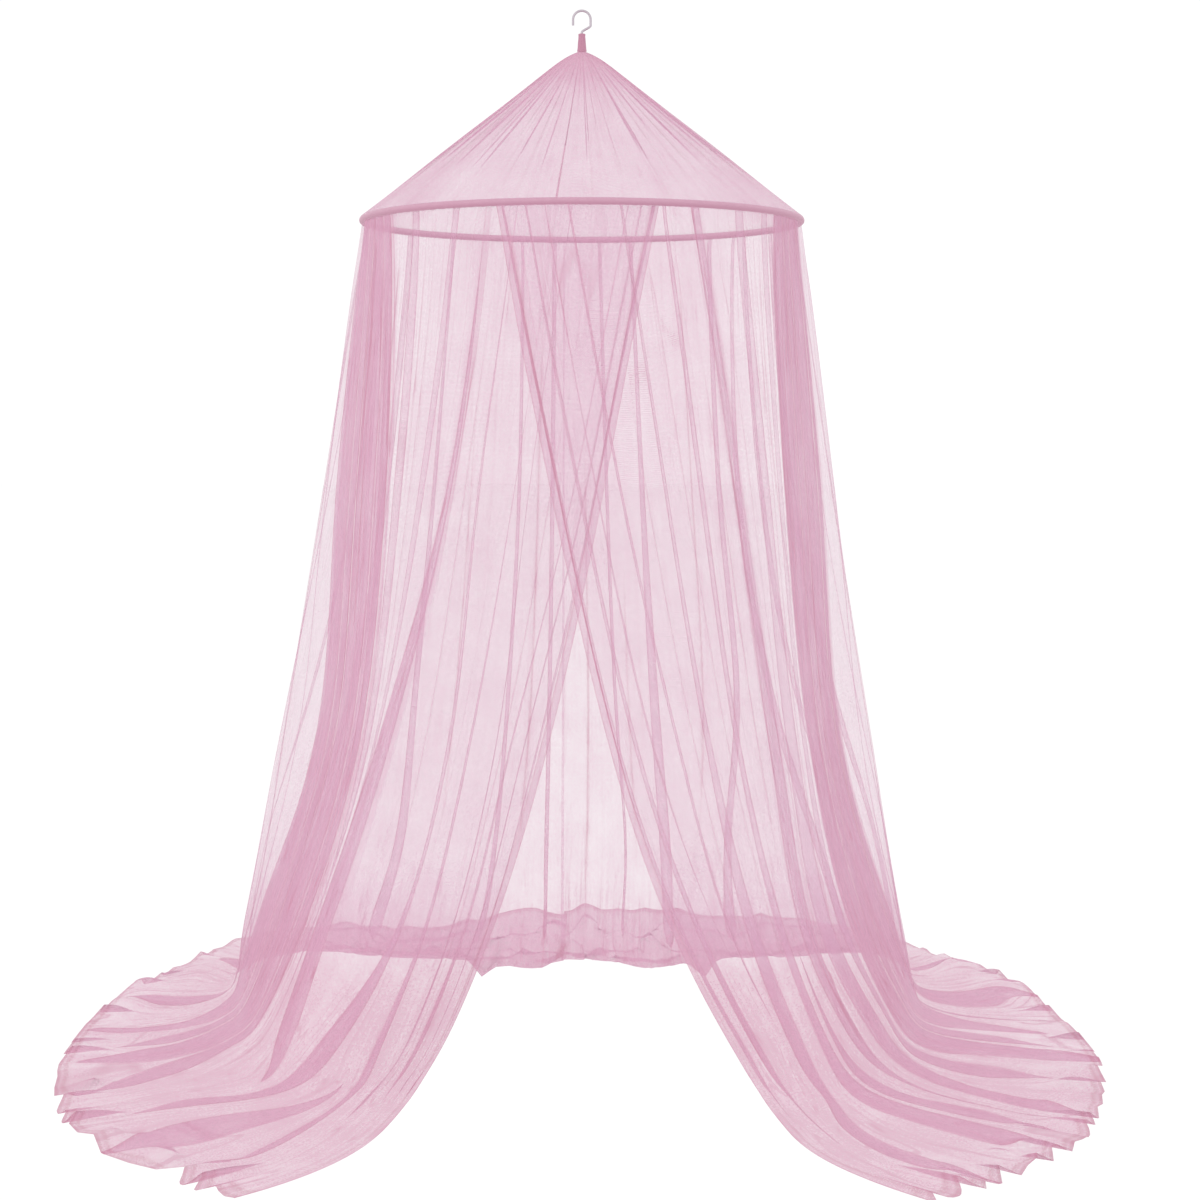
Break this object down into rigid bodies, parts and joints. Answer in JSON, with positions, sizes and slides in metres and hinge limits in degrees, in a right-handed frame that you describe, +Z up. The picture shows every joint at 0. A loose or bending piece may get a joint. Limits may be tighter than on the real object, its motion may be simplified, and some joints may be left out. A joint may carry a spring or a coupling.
{
  "type": "mosquito net canopy with hoop and hook",
  "caption": "Hanging net bed canopy: a net cone on a round hoop, and a long pleated net skirt that opens at the front and trails on the floor.",
  "frame": {"origin": "inside top of the hook's bend, where the canopy hangs from the ceiling's eye or cord", "axes": "+Z up, front of the canopy, where the two skirt panels cross, towards -Y, +X to the right seen from the front"},
  "size_m": [2.3676, 2.31, 2.374],
  "materials": {
    "wire": "satin",
    "binding": "matt woven cloth",
    "roof_net_cloth": "fine knitted net",
    "hoop_rod": "smooth",
    "casing_cloth": "matt woven cloth",
    "skirt_net_cloth": "fine knitted net"
  },
  "bodies": {
    "root": {"hook": "wire", "apex_sleeve": "binding", "roof_net": "roof_net_cloth", "hoop": "hoop_rod", "hoop_casing": "casing_cloth", "skirt_left": "skirt_net_cloth", "skirt_right": "skirt_net_cloth"}
  },
  "joints": []
}
